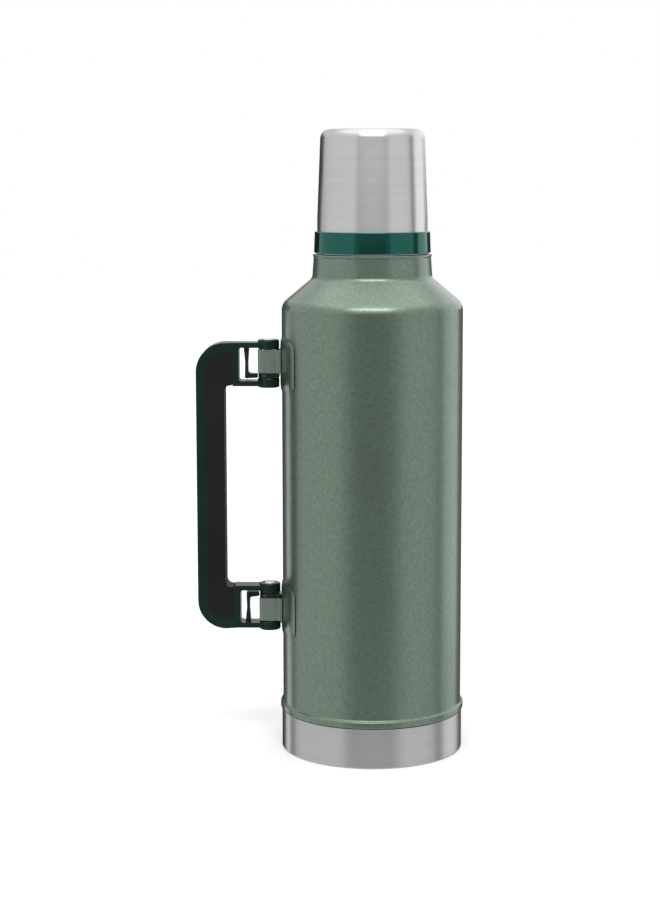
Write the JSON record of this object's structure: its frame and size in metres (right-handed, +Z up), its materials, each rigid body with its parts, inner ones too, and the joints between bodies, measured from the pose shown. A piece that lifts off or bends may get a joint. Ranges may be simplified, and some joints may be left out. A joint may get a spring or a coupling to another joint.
{
  "type": "vacuum flask",
  "caption": "Large steel vacuum flask: hammertone body, steel base and cup, threaded pouring stopper, and a side handle that swings flat on pinned hinges.",
  "frame": {"origin": "centre of the base's underside, on the bottle's axis, in the plane that the flask stands on", "axes": "+Z up along the bottle's axis; the handle is on the -X side, in the XZ plane; +Y completes the right-handed frame"},
  "size_m": [0.1767, 0.1222, 0.4094],
  "materials": {
    "hammertone_enamel": "hammertone enamel, satin gloss",
    "brushed_steel": "brushed round the axis",
    "inner_steel": "electropolished",
    "bright_steel": "polished",
    "collar_green": "moulded, glossy",
    "handle_green": "moulded, satin",
    "grip_black": "fine moulded grain",
    "black_plastic": "moulded, slick",
    "stopper_green": "moulded, satin",
    "foam": "closed-cell foam",
    "silicone": "translucent, matte",
    "getter_alloy": "pressed metal powder"
  },
  "bodies": {
    "flask": {"outer_shell": "hammertone_enamel", "inner_vessel": "inner_steel", "vacuum_base": "inner_steel", "evacuation_plug": "bright_steel", "getter": "getter_alloy", "base_cap": "brushed_steel", "upper_saddle": "hammertone_enamel", "lower_saddle": "hammertone_enamel", "upper_strap": "hammertone_enamel", "lower_strap": "hammertone_enamel", "upper_hinge_block": "black_plastic", "lower_hinge_block": "black_plastic"},
    "handle": {"handle_frame": "handle_green", "grip_insert": "grip_black", "upper_pin": "bright_steel", "lower_pin": "bright_steel"},
    "upper_detent": {"upper_detent_finger": "handle_green"},
    "lower_detent": {"lower_detent_finger": "handle_green"},
    "cup_ring": {"cup_seal": "silicone"},
    "cup": {"cup_shell": "brushed_steel", "cup_liner": "inner_steel", "cup_collar": "collar_green"},
    "stopper_ring": {"stopper_gasket": "silicone"},
    "stopper": {"stopper_plug": "stopper_green", "stopper_knob": "stopper_green", "stopper_core": "foam", "stopper_cover": "stopper_green"}
  },
  "joints": [
    {"name": "handle_fold", "type": "hinge", "parent": "flask", "child": "handle", "pos_m": [-0.0682, 0, 0.17605], "axis": [0, 0, 1], "range_deg": [-95, 95]},
    {"name": "upper_detent_flex", "type": "hinge", "parent": "handle", "child": "upper_detent", "pos_m": [-0.0826, 0, 0.2669], "axis": [0, 1, 0], "range_deg": [-3, 4], "stiffness_Nm_per_rad": 0.4},
    {"name": "lower_detent_flex", "type": "hinge", "parent": "handle", "child": "lower_detent", "pos_m": [-0.0826, 0, 0.0852], "axis": [0, -1, 0], "range_deg": [-3, 4], "stiffness_Nm_per_rad": 0.4},
    {"name": "cup_lift", "type": "slide", "parent": "flask", "child": "cup_ring", "axis": [0, 0, 1], "range_m": [0, 0.11]},
    {"name": "cup_turn", "type": "hinge", "parent": "cup_ring", "child": "cup", "pos_m": [0, 0, 0.33], "axis": [0, 0, 1], "range_deg": [0, 540]},
    {"name": "stopper_rise", "type": "slide", "parent": "flask", "child": "stopper_ring", "axis": [0, 0, 1], "range_m": [0, 0.0076]},
    {"name": "stopper_turn", "type": "hinge", "parent": "stopper_ring", "child": "stopper", "pos_m": [0, 0, 0.33], "axis": [0, 0, 1], "range_deg": [0, 540]}
  ],
  "couplings": [
    {"joint": "stopper_rise", "follows": "stopper_turn", "m_per_rad": 0.00079577}
  ]
}
